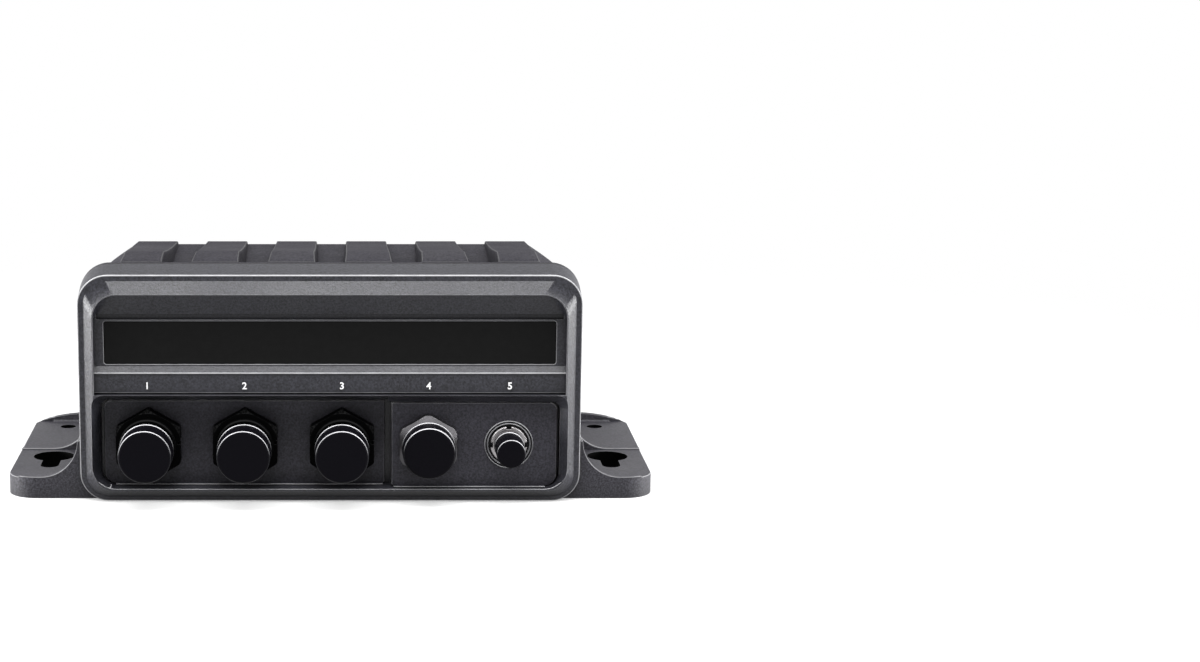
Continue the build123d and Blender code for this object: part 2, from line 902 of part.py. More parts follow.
with BuildPart() as mic_pins:
    with BuildSketch(facing(pin_back)):
        for place in mic_places:
            with Locations((place, axis_height)):
                with PolarLocations(mic_pin_circle, mic_pin_count):
                    Circle(pin_radius)
                Circle(pin_radius)
    extrude(amount=pin_back - mic_pin_front)
keep(mic_pins, "mic_pins")

with BuildPart() as mic_seals:
    with BuildSketch(facing(mic_floor)):
        for place in mic_places:
            with Locations((place, axis_height)):
                Circle(mic_seal_radius)
                Circle(mic_thread + seat_gap, mode=Mode.SUBTRACT)
    extrude(amount=mic_floor - nut_back)
keep(mic_seals, "mic_seals")

# ---- data socket ----
data_hex_across = 24.4
data_hex_corner = 13.4
data_nut_back = data_floor - 0.6
data_nut_front = data_floor - 6.0
data_front = data_floor - 14.5
data_cap_back = data_floor - 7.0
data_cap_radius = 11.2
data_bore = 6.2
data_flange_back = 17.0
data_flange = 11.0
data_back = 24.0
data_neck = 6.5
data_tail = 4.5
data_insert_front = 0.0
data_insert_back = data_back + 0.4
data_pin_front = -4.0
data_pin_circle = 2.8
data_seal_radius = 11.6

data_socket = turned(
    data_place,
    [
        (data_tail, data_back), (data_neck, data_back), (data_neck, data_flange_back),
        (data_flange, data_flange_back), (data_flange, pocket_wall_back),
        (data_thread, pocket_wall_back), (data_thread, data_front), (data_bore, data_front),
        (data_bore, insert_seat), (data_tail, insert_seat),
    ],
)
keep(data_socket, "data_socket")

data_hex_turning = turned(
    data_place,
    [
        (data_thread + seat_gap, data_nut_back), (data_hex_corner, data_nut_back),
        (data_hex_corner, data_nut_front + 2.6), (data_thread + 1.2, data_nut_front),
        (data_thread + seat_gap, data_nut_front),
    ],
)
with BuildPart() as data_nut:
    with BuildSketch(facing(data_nut_back)):
        with Locations((data_place, axis_height)):
            RegularPolygon(data_hex_across / 2, 6, major_radius=False, rotation=90)
    extrude(amount=data_nut_back - data_nut_front)
    add(data_hex_turning.part, mode=Mode.INTERSECT)
keep(data_nut, "data_nut")

data_seal = turned(
    data_place,
    [
        (data_thread + seat_gap, data_floor), (data_seal_radius, data_floor),
        (data_seal_radius, data_nut_back), (data_thread + seat_gap, data_nut_back),
    ],
)
keep(data_seal, "data_seal")

with BuildPart() as data_insert:
    with BuildSketch(facing(insert_seat)):
        with Locations((data_place, axis_height)):
            Circle(data_bore - seat_gap)
    extrude(amount=insert_seat - data_insert_front)
    with BuildSketch(facing(data_insert_back)):
        with Locations((data_place, axis_height)):
            Circle(data_tail - seat_gap)
    extrude(amount=data_insert_back - insert_seat)
    with BuildSketch(facing(data_insert_back)):
        with Locations((data_place, axis_height)):
            with PolarLocations(data_pin_circle, 4, start_angle=45):
                Circle(pin_radius + pin_gap)
            Circle(pin_radius + pin_gap)
    extrude(amount=data_insert_back - data_insert_front, mode=Mode.SUBTRACT)
keep(data_insert, "data_insert")

with BuildPart() as data_pins:
    with BuildSketch(facing(pin_back)):
        with Locations((data_place, axis_height)):
            with PolarLocations(data_pin_circle, 4, start_angle=45):
                Circle(pin_radius)
            Circle(pin_radius)
    extrude(amount=pin_back - data_pin_front)
keep(data_pins, "data_pins")

data_cap = turned(
    data_place,
    [
        (0, data_cap_front), (data_cap_radius - 1.5, data_cap_front),
        (data_cap_radius - 0.5, data_cap_front + 0.5), (data_cap_radius, data_cap_front + 1.6),
        (data_cap_radius, data_cap_back - 0.4), (data_cap_radius - 0.4, data_cap_back),
        (data_thread + thread_gap, data_cap_back), (data_thread + thread_gap, data_cap_front + cap_wall),
        (0, data_cap_front + cap_wall),
    ],
)
keep(data_cap, "data_cap")

data_liner = turned(
    data_place,
    [
        (0, data_front - seat_gap), (data_thread, data_front - seat_gap),
        (data_thread, data_cap_front + cap_wall + seat_gap), (0, data_cap_front + cap_wall + seat_gap),
    ],
)
keep(data_liner, "data_liner")

# ---- satellite antenna socket ----
gps_floor = data_floor + gps_well_depth
gps_ring_front = gps_floor - 3.0
gps_ring_radius = 8.0
gps_front = -5.0
gps_cap_back = 2.0
gps_cap_radius = 6.2
gps_cap_floor = gps_front - 1.3
gps_back = 22.0
gps_neck = 3.4
gps_tail = 1.9
gps_flange = 7.5
gps_bore = 3.0
gps_bore_back = 6.0
gps_ring_slope = 1.2        # the ring's face slopes in to the thread
gps_notch = (2.4, 2.2)
gps_insulator_front = 2.0
gps_insulator_back = 21.0
gps_pin_front = -3.0

gps_socket = turned(
    gps_place,
    [
        (gps_tail, gps_back), (gps_neck, gps_back), (gps_neck, data_flange_back),
        (gps_flange, data_flange_back), (gps_flange, pocket_wall_back),
        (gps_thread, pocket_wall_back), (gps_thread, gps_front), (gps_bore, gps_front),
        (gps_bore, gps_bore_back), (gps_tail, gps_bore_back),
    ],
)
keep(gps_socket, "gps_socket")

gps_ring_turning = turned(
    gps_place,
    [
        (gps_thread + seat_gap, gps_floor), (gps_ring_radius, gps_floor),
        (gps_ring_radius, gps_ring_front + 0.4), (gps_ring_radius - 0.4, gps_ring_front),
        (gps_cap_radius, gps_ring_front), (gps_thread + 0.6, gps_ring_front + gps_ring_slope),
        (gps_thread + seat_gap, gps_ring_front + gps_ring_slope),
    ],
)
with BuildPart() as gps_ring:
    add(gps_ring_turning.part)
    with BuildSketch(facing(gps_floor)):
        with Locations((gps_place, axis_height)):
            with PolarLocations(gps_ring_radius, 4):
                Rectangle(*gps_notch)
    extrude(amount=gps_floor - gps_ring_front, mode=Mode.SUBTRACT)
keep(gps_ring, "gps_ring")

gps_insulator = turned(
    gps_place,
    [
        (pin_radius + pin_gap, gps_insulator_back), (gps_tail - seat_gap, gps_insulator_back),
        (gps_tail - seat_gap, gps_insulator_front), (pin_radius + pin_gap, gps_insulator_front),
    ],
)
keep(gps_insulator, "gps_insulator")

gps_pin = turned(
    gps_place,
    [(0, pin_back), (pin_radius, pin_back), (pin_radius, gps_pin_front + 0.5), (0, gps_pin_front)],
)
keep(gps_pin, "gps_pin")

gps_cap = turned(
    gps_place,
    [
        (0, gps_cap_front), (gps_cap_radius - 1.1, gps_cap_front),
        (gps_cap_radius - 0.3, gps_cap_front + 0.4), (gps_cap_radius, gps_cap_front + 1.2),
        (gps_cap_radius, gps_cap_back - 0.3), (gps_cap_radius - 0.3, gps_cap_back),
        (gps_thread + thread_gap, gps_cap_back), (gps_thread + thread_gap, gps_cap_floor),
        (0, gps_cap_floor),
    ],
)
keep(gps_cap, "gps_cap")

gps_liner = turned(
    gps_place,
    [
        (0, gps_front - seat_gap), (gps_thread, gps_front - seat_gap),
        (gps_thread, gps_cap_floor + seat_gap), (0, gps_cap_floor + seat_gap),
    ],
)
keep(gps_liner, "gps_liner")

# ---- boards and what they carry ----
board_thickness = 1.6
main_board_bottom = 12.0
main_board_top = main_board_bottom + board_thickness
rf_board_bottom = 77.0
rf_board_top = rf_board_bottom + board_thickness
module_top = roof_underside - 0.8
can_wall = 0.5


def standing_box(left, right, front, back, bottom, top):
    """Rectangular block between two depths."""
    with BuildPart() as block:
        with BuildSketch(Plane.XY.offset(bottom)):
            with Locations(((left + right) / 2, (y_at(front) + y_at(back)) / 2)):
                Rectangle(right - left, back - front)
        extrude(amount=top - bottom)
    return block


# A box is (left, right, front, back, bottom, top); front and back are depths.
main_board_box = (-88, 88, 34, 124, main_board_bottom, main_board_top)
main_shield_box = (-60, 16, 52, 104, main_board_top, 22.5)
front_board_box = (-92, 92, pin_back, pin_back + board_thickness, 8.5, 44)
header_box = (-20, 20, 34, 41, main_board_top, 21)
riser_box = (-56, -20, 118, 118 + board_thickness, main_board_top, rf_board_bottom)
rf_board_box = (-78, 50, 44, 126, rf_board_bottom, rf_board_top)
rf_shield_box = (-16, 44, 56, 110, 66, rf_board_bottom)
module_box = (-30, 32, 70, 96, rf_board_top, module_top)
pad_box = (-30, 32, 70, 96, module_top, roof_underside)
board_hole = 1.6
standoff_half = 3.0
standoff_bore = 1.5
board_screw_head = 2.8
board_screw_head_height = 2.0
board_screw_radius = 1.45
board_screw_length = 6.0

with BuildPart() as main_board:
    add(standing_box(*main_board_box).part)
    with BuildSketch(Plane.XY.offset(main_board_bottom)):
        with Locations(*board_screw_points):
            Circle(board_hole)
    extrude(amount=board_thickness, mode=Mode.SUBTRACT)
keep(main_board, "main_board")

with BuildPart() as standoffs:
    with BuildSketch(Plane.XY.offset(floor_thickness)):
        with Locations(*board_screw_points):
            RegularPolygon(standoff_half, 6, major_radius=False)
            Circle(standoff_bore, mode=Mode.SUBTRACT)
    extrude(amount=main_board_bottom - floor_thickness)
keep(standoffs, "standoffs")

with BuildPart() as board_screws:
    with BuildSketch(Plane.XY.offset(main_board_top)):
        with Locations(*board_screw_points):
            Circle(board_screw_head)
    extrude(amount=board_screw_head_height)
    with BuildSketch(Plane.XY.offset(main_board_top - board_screw_length)):
        with Locations(*board_screw_points):
            Circle(board_screw_radius)
    extrude(amount=board_screw_length)
keep(board_screws, "board_screws")

with BuildPart() as main_can:
    add(standing_box(*main_shield_box).part)
    offset(amount=-can_wall, openings=main_can.faces().sort_by(Axis.Z)[0])
keep(main_can, "main_shield")

with BuildPart() as rf_can:
    add(standing_box(*rf_shield_box).part)
    offset(amount=-can_wall, openings=rf_can.faces().sort_by(Axis.Z)[-1])
keep(rf_can, "rf_shield")

keep(standing_box(*front_board_box), "front_board")
keep(standing_box(*header_box), "board_header")
keep(standing_box(*riser_box), "riser_board")
keep(standing_box(*rf_board_box), "rf_board")
keep(standing_box(*module_box), "power_module")
keep(standing_box(*pad_box), "heat_pad")

# ---- rear panel fittings ----
antenna_x, antenna_z = antenna_place
antenna_flange_side = 25.4
antenna_flange_corner = 2.0
antenna_flange_back = shell_depth + 3.0
antenna_front = 131.0
antenna_bore = 5.8
antenna_neck = 10.5
antenna_insulator_depths = (132.0, 149.0)
contact_radius = 2.7
contact_bore = 1.95
contact_bore_front = 140.0
contact_front = 129.0
contact_back = 150.0
antenna_screw_head = 2.6
antenna_screw_head_height = 1.8
antenna_screw_length = 7.0

antenna_body = turned(
    antenna_x,
    [
        (antenna_bore, antenna_front), (antenna_opening - 0.1, antenna_front),
        (antenna_opening - 0.1, shell_depth), (antenna_neck, shell_depth),
        (antenna_neck, antenna_flange_back), (antenna_thread, antenna_flange_back),
        (antenna_thread, antenna_tip - 0.6), (antenna_thread - 0.6, antenna_tip),
        (antenna_bore, antenna_tip),
    ],
    antenna_z,
)
with BuildPart() as antenna_socket:
    with BuildSketch(facing(antenna_flange_back)):
        with Locations(antenna_place):
            RectangleRounded(antenna_flange_side, antenna_flange_side, antenna_flange_corner)
            with GridLocations(antenna_screw_pitch, antenna_screw_pitch, 2, 2):
                Circle(antenna_screw_radius + bore_gap, mode=Mode.SUBTRACT)
            Circle(antenna_bore, mode=Mode.SUBTRACT)
    extrude(amount=antenna_flange_back - shell_depth)
    add(antenna_body.part)
keep(antenna_socket, "antenna_socket")

insulator_front, insulator_back = antenna_insulator_depths
antenna_insulator = turned(
    antenna_x,
    [
        (contact_radius + seat_gap, insulator_front), (antenna_bore - seat_gap, insulator_front),
        (antenna_bore - seat_gap, insulator_back), (contact_radius + seat_gap, insulator_back),
    ],
    antenna_z,
)
keep(antenna_insulator, "antenna_insulator")

antenna_contact = turned(
    antenna_x,
    [
        (0, contact_front), (contact_radius, contact_front), (contact_radius, contact_back),
        (contact_bore, contact_back), (contact_bore, contact_bore_front), (0, contact_bore_front),
    ],
    antenna_z,
)
keep(antenna_contact, "antenna_contact")

with BuildPart() as antenna_screws:
    with BuildSketch(facing(antenna_flange_back + antenna_screw_head_height)):
        with Locations(antenna_place):
            with GridLocations(antenna_screw_pitch, antenna_screw_pitch, 2, 2):
                Circle(antenna_screw_head)
    extrude(amount=antenna_screw_head_height)
    with BuildSketch(facing(antenna_flange_back + antenna_screw_head_height)):
        with Locations(antenna_place):
            with GridLocations(antenna_screw_pitch, antenna_screw_pitch, 2, 2):
                Rectangle(cross_length, cross_width)
                Rectangle(cross_width, cross_length)
    extrude(amount=cross_depth, mode=Mode.SUBTRACT)
    with BuildSketch(facing(antenna_flange_back)):
        with Locations(antenna_place):
            with GridLocations(antenna_screw_pitch, antenna_screw_pitch, 2, 2):
                Circle(antenna_screw_radius)
    extrude(amount=antenna_screw_length)
keep(antenna_screws, "antenna_screws")

coax_radius = 1.5
coax_depth = 112.0
coax_bend = 6.5
with BuildPart() as antenna_coax:
    with BuildLine() as coax_route:
        FilletPolyline(
            (antenna_x, y_at(coax_depth), rf_board_bottom),
            (antenna_x, y_at(coax_depth), antenna_z),
            (antenna_x, y_at(contact_front), antenna_z),
            radius=coax_bend,
        )
    with BuildSketch(Plane(origin=coax_route.line @ 0, z_dir=coax_route.line % 0)):
        Circle(coax_radius)
    sweep()
keep(antenna_coax, "antenna_coax")

gland_hex_half = 9.5
gland_hex_back = shell_depth + 4.0
gland_neck = 7.0
gland_neck_back = gland_hex_back + 7.0
gland_bore = 4.6
gland_inside = 8.0          # length of the gland's thread inside the case
gland_nut_radius = 9.6
gland_nut_half = 8.9        # across the flats, halved
gland_nut_flats = 5.0
gland_nut_bore = 4.9
gland_nut_step = gland_neck_back + 0.6
gland_seal_front = 138.0
gland_seal_bore = 3.1
nut_front_gap = 0.4

with BuildPart() as gland_bodies:
    with BuildSketch(facing(gland_hex_back)):
        with Locations(*gland_places):
            RegularPolygon(gland_hex_half, 6, major_radius=False)
    extrude(amount=gland_hex_back - shell_depth)
    with BuildSketch(facing(gland_neck_back)):
        with Locations(*gland_places):
            Circle(gland_neck)
    extrude(amount=gland_neck_back - gland_hex_back)
    with BuildSketch(facing(shell_depth)):
        with Locations(*gland_places):
            Circle(gland_opening - bore_gap)
    extrude(amount=gland_inside)
    with BuildSketch(facing(gland_neck_back)):
        with Locations(*gland_places):
            Circle(gland_bore)
    extrude(amount=gland_neck_back - shell_depth + gland_inside, mode=Mode.SUBTRACT)
keep(gland_bodies, "gland_bodies")

gland_nut_front = gland_hex_back + nut_front_gap
with BuildPart() as gland_nuts:
    for x, z in gland_places:
        dome = turned(
            x,
            [
                (gland_neck + bore_gap, gland_nut_front), (gland_nut_radius, gland_nut_front),
                (gland_nut_radius, gland_tip - 4), (gland_nut_radius - 1, gland_tip - 1.4),
                (gland_nut_radius - 3, gland_tip), (gland_nut_bore, gland_tip),
                (gland_nut_bore, gland_nut_step), (gland_neck + bore_gap, gland_nut_step),
            ],
            z,
        )
        add(dome.part)
    with BuildSketch(facing(gland_hex_back + gland_nut_flats)):
        with Locations(*gland_places):
            Circle(1.25 * gland_nut_radius)
            RegularPolygon(gland_nut_half, 6, major_radius=False, mode=Mode.SUBTRACT)
    extrude(amount=gland_nut_flats, mode=Mode.SUBTRACT)
keep(gland_nuts, "gland_nuts")

with BuildPart() as gland_seals:
    for x, z in gland_places:
        seal = turned(
            x,
            [
                (gland_seal_bore, gland_seal_front), (gland_bore - bore_gap, gland_seal_front),
                (gland_bore - bore_gap, gland_tip - 0.6), (gland_seal_bore, gland_tip - 0.6),
            ],
            z,
        )
        add(seal.part)
keep(gland_seals, "gland_seals")

ground_x, ground_z = ground_place
washer_radius = 5.5
washer_back = shell_depth + 1.0
ground_screw_back = washer_back + 3.0
ground_screw_half = 4.0
ground_screw_length = 9.0
ground_slot = (6.0, 1.0)
ground_slot_depth = 1.0

ground_washer = turned(
    ground_x,
    [
        (ground_opening, shell_depth), (washer_radius, shell_depth),
        (washer_radius, washer_back), (ground_opening, washer_back),
    ],
    ground_z,
)
keep(ground_washer, "ground_washer")

with BuildPart() as ground_screw:
    with BuildSketch(facing(ground_screw_back)):
        with Locations(ground_place):
            RegularPolygon(ground_screw_half, 6, major_radius=False)
    extrude(amount=ground_screw_back - washer_back)
    with BuildSketch(facing(washer_back)):
        with Locations(ground_place):
            Circle(ground_opening - bore_gap)
    extrude(amount=ground_screw_length)
    with BuildSketch(facing(ground_screw_back)):
        with Locations(ground_place):
            Rectangle(*ground_slot)
    extrude(amount=ground_slot_depth, mode=Mode.SUBTRACT)
keep(ground_screw, "ground_screw")

vent_x, vent_z = vent_place
vent_front = 130.0
vent_cap_radius = 6.5
vent_cap_back = shell_depth + 2.4
vent_plug = turned(
    vent_x,
    [
        (0, vent_front), (vent_opening - bore_gap, vent_front), (vent_opening - bore_gap, shell_depth),
        (vent_cap_radius, shell_depth), (vent_cap_radius, vent_cap_back - 0.8),
        (vent_cap_radius - 0.8, vent_cap_back), (0, vent_cap_back),
    ],
    vent_z,
)
keep(vent_plug, "vent_plug")
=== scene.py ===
import json
import math
import bmesh
import bpy
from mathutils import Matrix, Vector

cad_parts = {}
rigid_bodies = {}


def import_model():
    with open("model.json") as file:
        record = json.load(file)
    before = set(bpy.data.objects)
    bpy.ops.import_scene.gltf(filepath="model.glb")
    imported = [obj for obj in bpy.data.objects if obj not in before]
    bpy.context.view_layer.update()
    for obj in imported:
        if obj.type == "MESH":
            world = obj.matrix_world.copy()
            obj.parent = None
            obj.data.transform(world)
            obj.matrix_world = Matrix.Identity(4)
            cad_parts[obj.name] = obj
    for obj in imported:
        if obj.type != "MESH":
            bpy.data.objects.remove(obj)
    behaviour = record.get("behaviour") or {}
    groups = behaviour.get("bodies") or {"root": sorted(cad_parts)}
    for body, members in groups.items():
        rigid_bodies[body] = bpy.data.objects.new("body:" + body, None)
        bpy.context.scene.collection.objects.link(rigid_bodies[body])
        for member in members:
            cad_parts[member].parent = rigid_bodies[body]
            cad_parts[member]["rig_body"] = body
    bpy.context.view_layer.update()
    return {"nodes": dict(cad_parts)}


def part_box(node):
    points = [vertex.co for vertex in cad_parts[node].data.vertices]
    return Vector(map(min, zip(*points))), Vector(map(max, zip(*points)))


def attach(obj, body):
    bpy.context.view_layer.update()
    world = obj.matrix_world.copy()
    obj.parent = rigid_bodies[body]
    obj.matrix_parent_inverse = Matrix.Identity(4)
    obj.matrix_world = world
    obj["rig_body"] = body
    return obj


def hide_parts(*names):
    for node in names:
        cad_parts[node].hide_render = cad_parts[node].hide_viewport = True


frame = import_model()
nodes = frame["nodes"]
mm = 0.001
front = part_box("front_bezel")[0].y  # the bezel's front edge, where depths start
onePoint = 0.002 * mm  # corners that lie closer than this are merged
shadeSamples = 6


def middleOf(node):
    low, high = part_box(node)
    return (low + high) / 2


def at(depth):  # Y of a depth in millimetres behind the bezel's front edge
    return front + depth * mm


def choose(piece):  # only this object is selected, and active
    bpy.ops.object.select_all(action="DESELECT")
    piece.select_set(True)
    bpy.context.view_layer.objects.active = piece


# camera: pitch in degrees down, lens and sensor in mm
camera = {
    "place": (0.0064, -1.10375, 0.272),
    "pitch": 11.7,
    "lens": 75,
    "sensor": 36,
    "shift": (0.2125, 0.034),
    "near": 0.05,
}


def setCamera(look):
    data = bpy.data.cameras.new("camera")
    data.lens = look["lens"]
    data.sensor_width = look["sensor"]
    data.shift_x, data.shift_y = look["shift"]
    data.clip_start = look["near"]
    eye = bpy.data.objects.new("camera", data)
    eye.location = look["place"]
    eye.rotation_euler = (math.radians(90 - look["pitch"]), 0, 0)
    bpy.context.scene.collection.objects.link(eye)
    bpy.context.scene.camera = eye


setCamera(camera)
bpy.context.scene.view_settings.view_transform = "Standard"
print("camera set")


# small steps that the materials below share
def startMaterial(name):
    material = bpy.data.materials.new(name + "_finish")
    material.use_nodes = True
    tree = material.node_tree
    return material, tree, tree.nodes["Principled BSDF"]


def noiseOn(tree, place, size, detail, roughness=0.55):  # noise whose features are size mm wide
    noise = tree.nodes.new("ShaderNodeTexNoise")
    noise.inputs["Scale"].default_value = 1 / (size * mm)
    noise.inputs["Detail"].default_value = detail
    noise.inputs["Roughness"].default_value = roughness
    tree.links.new(place.outputs["Object"], noise.inputs["Vector"])
    return noise.outputs["Fac"]


def rangeOf(tree, source, fromRange, toLow, toHigh, kind="LINEAR"):
    ramp = tree.nodes.new("ShaderNodeMapRange")
    ramp.interpolation_type = kind
    ramp.inputs["From Min"].default_value = fromRange[0]
    ramp.inputs["From Max"].default_value = fromRange[1]
    ramp.inputs["To Min"].default_value = toLow
    ramp.inputs["To Max"].default_value = toHigh
    tree.links.new(source, ramp.inputs["Value"])
    return ramp.outputs["Result"]


def calculate(tree, operation, first, second):
    step = tree.nodes.new("ShaderNodeMath")
    step.operation = operation
    tree.links.new(first, step.inputs[0])
    tree.links.new(second, step.inputs[1])
    return step.outputs[0]


def blendColours(tree, amount, first, second):  # amount and colours are sockets or plain values
    mix = tree.nodes.new("ShaderNodeMix")
    mix.data_type = "RGBA"
    factor, colourA, colourB = mix.inputs[0], mix.inputs[6], mix.inputs[7]
    for socket, value in ((factor, amount), (colourA, first), (colourB, second)):
        if hasattr(value, "is_linked"):
            tree.links.new(value, socket)
        else:
            socket.default_value = value
    return mix.outputs[2]


def toned(colour, share=1):
    return (*[min(c * share, 1) for c in colour], 1)


def opennessOf(tree, reach, inside=False):  # 1 in the open, less in a corner, or inside at an edge
    shade = tree.nodes.new("ShaderNodeAmbientOcclusion")
    shade.samples = shadeSamples
    shade.inside = inside
    shade.only_local = inside
    shade.inputs["Distance"].default_value = reach * mm
    return shade.outputs["AO"]


def addBump(tree, shader, height, depth):
    bump = tree.nodes.new("ShaderNodeBump")
    bump.inputs["Distance"].default_value = depth * mm
    bump.inputs["Strength"].default_value = 1.0
    tree.links.new(height, bump.inputs["Height"])
    tree.links.new(bump.outputs["Normal"], shader.inputs["Normal"])


# studio: world, lamps and floor
studio = {
    "worldFill": 0.30,
    "aim": (0, 0, 0.05),
    "lamps": {
        "topLamp": {"place": (0.0, -0.45, 1.15), "width": 1.0, "depth": 0.36, "watts": 20},
        "leftHighLamp": {"place": (-0.85, -0.42, 0.75), "width": 0.5, "depth": 0.5, "watts": 6},
        "rightHighLamp": {"place": (0.85, -0.42, 0.75), "width": 0.5, "depth": 0.5, "watts": 6},
        "rearLamp": {"place": (0.0, 0.75, 1.0), "width": 1.2, "depth": 0.15, "watts": 0.6},
        "leftLamp": {"place": (-0.95, -0.07, 0.11), "width": 0.6, "depth": 0.22, "watts": 17},
        "rightLamp": {"place": (0.95, -0.07, 0.11), "width": 0.6, "depth": 0.22, "watts": 17},
    },
    "floorColour": (0.86, 0.86, 0.86),
    "floorBounce": (0.30, 0.30, 0.30),  # the floor's colour for the light that it sends back
    "floorRough": 0.9,
    "floorRadius": 3.0,
    "floorSides": 96,
    "paintedShadowColour": (0.02, 0.02, 0.02),  # painted shadow: the floor darkens to this under and beside the object
    "paintedShadowReach": 14,  # in mm
    "paintedShadowRange": (0.0, 0.5),
    "fadeRange": (0.22, 0.62),  # distances between which the floor fades into the background
    "floorClear": 0.5,  # how far the white background shows through the floor beside the object
}


def seenStraight(tree, rays):  # 1 for what the camera sees itself or in a reflection
    return calculate(tree, "MAXIMUM", rays.outputs["Is Camera Ray"], rays.outputs["Is Glossy Ray"])


def lightWorld(fill):
    world = bpy.data.worlds.new("studio")
    world.use_nodes = True
    tree = world.node_tree
    background = tree.nodes["Background"]
    background.inputs["Color"].default_value = (1, 1, 1, 1)
    rays = tree.nodes.new("ShaderNodeLightPath")
    seen = seenStraight(tree, rays)
    through = calculate(tree, "MAXIMUM", seen, rays.outputs["Is Transmission Ray"])
    tree.links.new(rangeOf(tree, through, (0, 1), fill, 1), background.inputs["Strength"])
    bpy.context.scene.world = world


def hangLamp(name, place, width, depth, watts):
    data = bpy.data.lights.new(name, "AREA")
    data.shape = "RECTANGLE"
    data.size = width
    data.size_y = depth
    data.energy = watts
    lamp = bpy.data.objects.new(name, data)
    lamp.location = place
    aim = Vector(studio["aim"]) - Vector(place)
    lamp.rotation_euler = aim.to_track_quat("-Z", "Y").to_euler()
    bpy.context.scene.collection.objects.link(lamp)


def layFloor(look):
    bpy.ops.object.select_all(action="DESELECT")
    bpy.ops.mesh.primitive_circle_add(
        vertices=look["floorSides"], radius=look["floorRadius"], fill_type="NGON"
    )
    floor = bpy.context.object
    floor.name = "floor"
    material, tree, shader = startMaterial("floor")
    seen = seenStraight(tree, tree.nodes.new("ShaderNodeLightPath"))
    tone = blendColours(tree, seen, toned(look["floorBounce"]), toned(look["floorColour"]))
    # painted shadow: the floor's colour darkens to near black where the object closes over it
    shadowFree = rangeOf(tree, opennessOf(tree, look["paintedShadowReach"]), look["paintedShadowRange"], 0, 1)
    tone = blendColours(tree, shadowFree, toned(look["paintedShadowColour"]), tone)
    tree.links.new(tone, shader.inputs["Base Color"])
    shader.inputs["Roughness"].default_value = look["floorRough"]
    shader.inputs["Specular IOR Level"].default_value = 0.0
    place = tree.nodes.new("ShaderNodeTexCoord")
    distance = tree.nodes.new("ShaderNodeVectorMath")
    distance.operation = "LENGTH"
    tree.links.new(place.outputs["Object"], distance.inputs[0])
    fade = rangeOf(
        tree, distance.outputs["Value"], look["fadeRange"], look["floorClear"], 1, "SMOOTHSTEP"
    )
    clear = tree.nodes.new("ShaderNodeBsdfTransparent")
    mixed = tree.nodes.new("ShaderNodeMixShader")
    tree.links.new(fade, mixed.inputs["Fac"])
    tree.links.new(shader.outputs["BSDF"], mixed.inputs[1])
    tree.links.new(clear.outputs["BSDF"], mixed.inputs[2])
    tree.links.new(mixed.outputs["Shader"], tree.nodes["Material Output"].inputs["Surface"])
    floor.data.materials.append(material)


lightWorld(studio["worldFill"])
for lampName, lampLook in studio["lamps"].items():
    hangLamp(lampName, **lampLook)
layFloor(studio)
print("studio lit")
